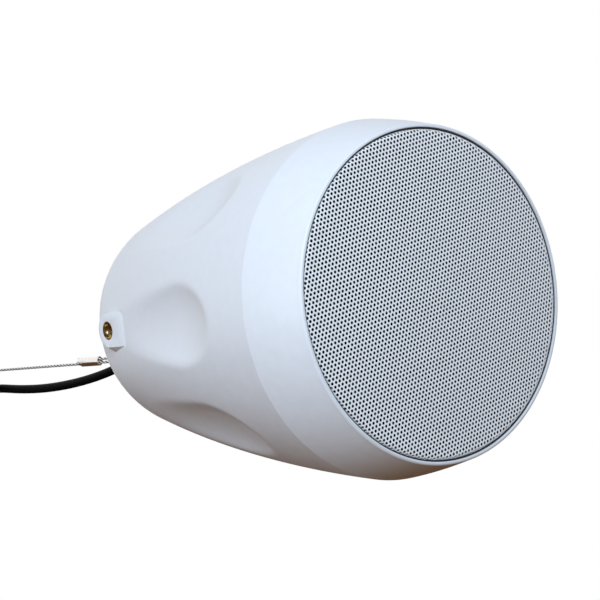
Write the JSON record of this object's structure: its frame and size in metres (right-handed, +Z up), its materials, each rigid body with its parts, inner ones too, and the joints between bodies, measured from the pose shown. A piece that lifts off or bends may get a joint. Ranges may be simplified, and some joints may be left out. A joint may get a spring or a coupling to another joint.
{
  "type": "ceiling speaker",
  "caption": "White pendant ceiling speaker with a fluted bullet-shaped enclosure and a round perforated grille, hung by a steel wire rope beside its black cable.",
  "frame": {"origin": "inner top of the loop at the upper end of the wire rope that the speaker hangs by", "axes": "+Z up along the hanging rope and the speaker's axis, with the grille facing -Z; -Y towards the pad and brass insert that the picture shows; +X from the rope towards the speaker's axis"},
  "size_m": [0.2032, 0.2031, 0.5802],
  "materials": {
    "enclosure_white": "fine satin moulded",
    "grille_steel": "satin",
    "grille_cloth": "open weave",
    "insert_brass": "machined",
    "rope_steel": "twisted strand",
    "ferrule_metal": "polished",
    "zinc_steel": "bright zinc",
    "cable_black": "smooth satin",
    "core_copper": "smooth",
    "baffle_board": "sealed",
    "basket_steel": "satin",
    "cone_paper": "pressed",
    "soft_rubber": "smooth",
    "spider_cloth": "impregnated",
    "voice_coil": "wound",
    "magnet_ferrite": "ground",
    "tweeter_plastic": "satin",
    "wadding_fibre": "loose fibre",
    "plate_white": "powder coated",
    "gland_plastic": "satin",
    "core_iron": "laminated and varnished",
    "winding_tape": "taped",
    "board_green": "circuit board",
    "coil_copper": "enamelled wire",
    "capacitor_film": "dipped",
    "terminal_plastic": "moulded"
  },
  "bodies": {
    "root": {"housing": "enclosure_white", "front_ring": "enclosure_white", "side_inserts": "insert_brass", "grille": "grille_steel", "grille_cloth": "grille_cloth", "front_baffle": "baffle_board", "baffle_screws": "zinc_steel", "driver_gasket": "soft_rubber", "driver_basket": "basket_steel", "driver_screws": "zinc_steel", "surround": "soft_rubber", "cone": "cone_paper", "spider": "spider_cloth", "voice_coil": "voice_coil", "top_plate": "zinc_steel", "magnet": "magnet_ferrite", "back_plate": "zinc_steel", "tweeter_stem": "zinc_steel", "tweeter_housing": "tweeter_plastic", "tweeter_dome": "grille_cloth", "damping_wadding": "wadding_fibre", "rear_plate": "plate_white", "plate_seal": "soft_rubber", "plate_screws": "zinc_steel", "hanging_eye": "zinc_steel", "eye_washer": "zinc_steel", "eye_nut": "zinc_steel", "gland_body": "gland_plastic", "gland_cap": "gland_plastic", "gland_nut": "gland_plastic", "transformer_bracket": "zinc_steel", "bracket_screws": "zinc_steel", "transformer_core": "core_iron", "transformer_winding": "winding_tape", "crossover_board": "board_green", "board_spacers": "insert_brass", "crossover_coils": "coil_copper", "crossover_capacitors": "capacitor_film", "terminal_block": "terminal_plastic", "inner_cores": "core_copper", "speaker_leads": "core_copper", "rope": "rope_steel", "lower_ferrule": "ferrule_metal", "upper_ferrule": "ferrule_metal", "cable": "cable_black", "cable_coil": "cable_black", "cable_end": "cable_black", "cable_cores": "core_copper", "cable_tie": "tweeter_plastic"}
  },
  "joints": []
}
